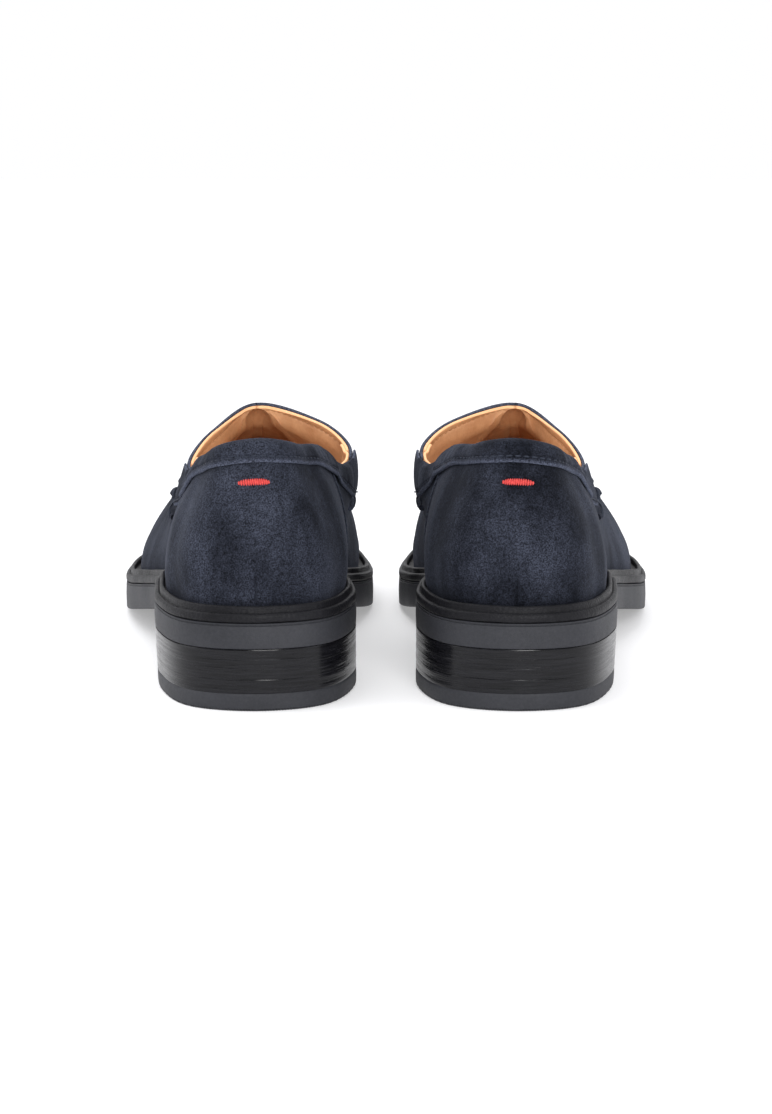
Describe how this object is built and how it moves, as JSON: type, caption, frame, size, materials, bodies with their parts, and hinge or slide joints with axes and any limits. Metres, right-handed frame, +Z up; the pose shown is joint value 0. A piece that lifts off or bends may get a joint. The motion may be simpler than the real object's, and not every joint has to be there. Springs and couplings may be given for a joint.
{
  "type": "penny loafer pair",
  "caption": "Pair of suede penny loafers with a stacked heel, storm welt, rubber outsole, saddle strap with a coin slot and tan leather lining.",
  "frame": {"origin": "on the floor, at the centre of the pair's bounding box in plan", "axes": "+Y from the heels to the toes, +Z up, +X to the wearer's right, so the right shoe is on the +X side"},
  "size_m": [0.226, 0.3019, 0.0959],
  "materials": {
    "suede": "navy suede, napped",
    "lining_leather": "smooth tan calf",
    "sock_leather": "smooth tan calf",
    "rubber_black": "matt",
    "welt_leather": "pebbled top, polished edge",
    "heel_stack": "stacked layers, polished black edge",
    "steel": "plain",
    "cork": "granular",
    "board": "cellulose board",
    "foam": "soft foam",
    "stiffener": "stiffened fabric",
    "thread_navy": "waxed thread",
    "thread_accent": "thick stitched thread"
  },
  "bodies": {
    "left_shoe": {"left_heel_top_piece": "rubber_black", "left_heel_lift_lower": "heel_stack", "left_heel_lift_middle": "heel_stack", "left_heel_lift_upper": "heel_stack", "left_heel_nail_1": "steel", "left_heel_nail_2": "steel", "left_heel_nail_3": "steel", "left_heel_nail_4": "steel", "left_heel_nail_5": "steel", "left_outsole": "rubber_black", "left_welt": "welt_leather", "left_cork_filler": "cork", "left_shank": "steel", "left_insole_board": "board", "left_footbed_foam": "foam", "left_sock_lining": "sock_leather", "left_quarter_lining": "lining_leather", "left_vamp_lining": "lining_leather", "left_heel_stiffener": "stiffener", "left_toe_puff": "stiffener", "left_vamp": "suede", "left_apron": "suede", "left_apron_thread": "thread_navy", "left_heel_cover": "suede", "left_collar_band": "suede", "left_penny_strap": "suede", "left_bar_tack": "thread_accent"},
    "right_shoe": {"right_heel_top_piece": "rubber_black", "right_heel_lift_lower": "heel_stack", "right_heel_lift_middle": "heel_stack", "right_heel_lift_upper": "heel_stack", "right_heel_nail_1": "steel", "right_heel_nail_2": "steel", "right_heel_nail_3": "steel", "right_heel_nail_4": "steel", "right_heel_nail_5": "steel", "right_outsole": "rubber_black", "right_welt": "welt_leather", "right_cork_filler": "cork", "right_shank": "steel", "right_insole_board": "board", "right_footbed_foam": "foam", "right_sock_lining": "sock_leather", "right_quarter_lining": "lining_leather", "right_vamp_lining": "lining_leather", "right_heel_stiffener": "stiffener", "right_toe_puff": "stiffener", "right_vamp": "suede", "right_apron": "suede", "right_apron_thread": "thread_navy", "right_heel_cover": "suede", "right_collar_band": "suede", "right_penny_strap": "suede", "right_bar_tack": "thread_accent"}
  },
  "joints": [
    {"name": "right_shoe_lift", "type": "slide", "parent": "left_shoe", "child": "right_shoe", "axis": [0, 0, 1], "range_m": [0, 0.12]}
  ]
}
